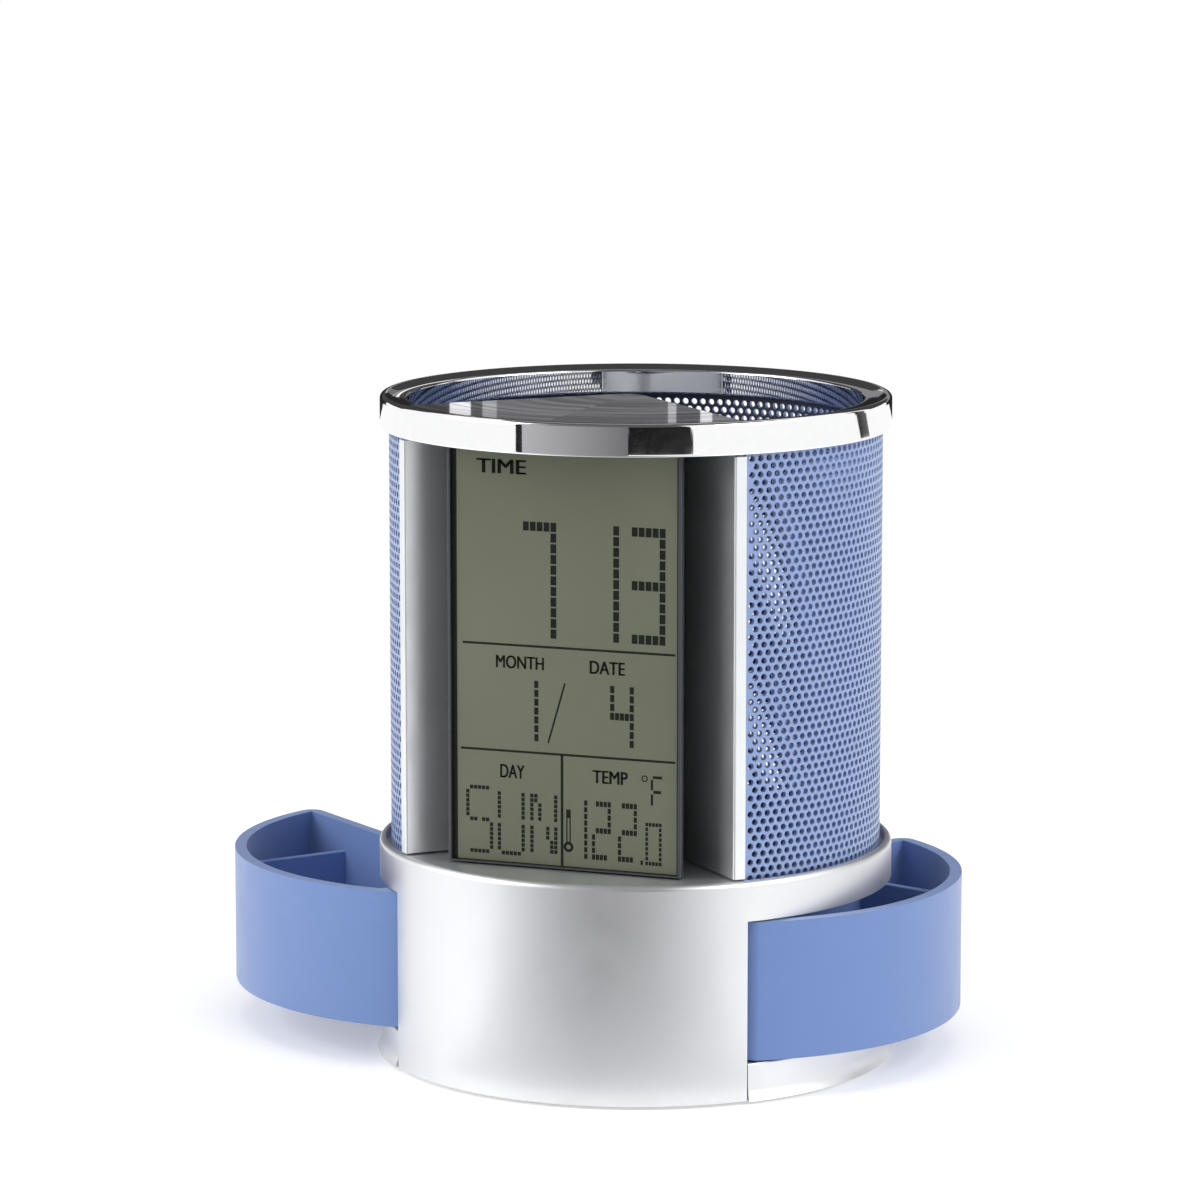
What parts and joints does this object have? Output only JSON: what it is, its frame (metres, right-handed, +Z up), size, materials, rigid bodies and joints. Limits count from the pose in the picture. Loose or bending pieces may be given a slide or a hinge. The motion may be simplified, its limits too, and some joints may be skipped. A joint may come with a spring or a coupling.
{
  "type": "pen holder clock",
  "caption": "Round desk pen cup of perforated sheet with a plated rim, an upright digital display in a wedge-shaped recess, and trays that swing out of the base.",
  "frame": {"origin": "middle of the round base, on the table plane under the rubber feet", "axes": "+Z up along the cup's axis, the display and the front of the base face -Y, +X is the right-hand side seen from the front"},
  "size_m": [0.1292, 0.0865, 0.1114],
  "materials": {
    "silver_plastic": "satin silver paint on moulded plastic",
    "blue_plastic": "smooth, slightly satin, periwinkle blue",
    "blue_painted_steel": "perforated sheet, periwinkle blue paint",
    "plated_rim": "bright plating on moulded plastic",
    "dark_plastic": "dark grey, fine texture",
    "display_glass": "grey-green reflective liquid crystal cell",
    "rubber": "matte",
    "steel": "plain bright",
    "circuit_board": "green lacquer",
    "floor_mat": "soft foam, dark blue",
    "cell_jacket": "plain shrink sleeve"
  },
  "bodies": {
    "base": {"alarm_sounder": "dark_plastic", "base_lower_tray": "silver_plastic", "base_screw_1": "steel", "base_screw_2": "steel", "base_screw_3": "steel", "base_screw_4": "steel", "base_upper_shell": "silver_plastic", "battery_bridge": "steel", "battery_cell_left": "cell_jacket", "battery_cell_right": "cell_jacket", "battery_door": "silver_plastic", "battery_door_screw": "steel", "battery_holder": "dark_plastic", "button_board": "circuit_board", "button_board_screw": "steel", "chip_cover": "dark_plastic", "clock_board": "circuit_board", "clock_case": "dark_plastic", "column_screw_1": "steel", "column_screw_2": "steel", "column_screw_3": "steel", "contact_minus": "steel", "contact_plus": "steel", "contact_strip": "rubber", "cup_floor_mat": "floor_mat", "display_cell": "display_glass", "display_column": "silver_plastic", "display_retainer": "dark_plastic", "hinge_pin_left": "steel", "hinge_pin_right": "steel", "key_switch_1": "dark_plastic", "key_switch_2": "dark_plastic", "key_switch_3": "dark_plastic", "key_switch_4": "dark_plastic", "perforated_wall": "blue_painted_steel", "quartz_crystal": "steel", "rubber_foot_1": "rubber", "rubber_foot_2": "rubber", "rubber_foot_3": "rubber", "rubber_foot_4": "rubber", "spring_lower": "steel", "spring_upper": "steel", "temperature_sensor": "dark_plastic", "top_rim": "plated_rim"},
    "drawer_right": {"drawer_right": "blue_plastic"},
    "drawer_left": {"drawer_left": "blue_plastic"},
    "set_button_1": {"set_button_1": "dark_plastic"},
    "set_button_2": {"set_button_2": "dark_plastic"},
    "set_button_3": {"set_button_3": "dark_plastic"},
    "set_button_4": {"set_button_4": "dark_plastic"}
  },
  "joints": [
    {"name": "drawer_right_swing", "type": "hinge", "parent": "base", "child": "drawer_right", "pos_m": [0.03085, -0.02639, 0.0193], "axis": [0, 0, -1], "range_deg": [-18.3, 46.7]},
    {"name": "drawer_left_swing", "type": "hinge", "parent": "base", "child": "drawer_left", "pos_m": [-0.03085, -0.02639, 0.0193], "axis": [0, 0, 1], "range_deg": [-53, 12]},
    {"name": "set_button_1_press", "type": "slide", "parent": "base", "child": "set_button_1", "axis": [0, 0, 1], "range_m": [0, 0.0004], "stiffness_N_per_m": 1500, "springref_m": -0.0002},
    {"name": "set_button_2_press", "type": "slide", "parent": "base", "child": "set_button_2", "axis": [0, 0, 1], "range_m": [0, 0.0004], "stiffness_N_per_m": 1500, "springref_m": -0.0002},
    {"name": "set_button_3_press", "type": "slide", "parent": "base", "child": "set_button_3", "axis": [0, 0, 1], "range_m": [0, 0.0004], "stiffness_N_per_m": 1500, "springref_m": -0.0002},
    {"name": "set_button_4_press", "type": "slide", "parent": "base", "child": "set_button_4", "axis": [0, 0, 1], "range_m": [0, 0.0004], "stiffness_N_per_m": 1500, "springref_m": -0.0002}
  ]
}
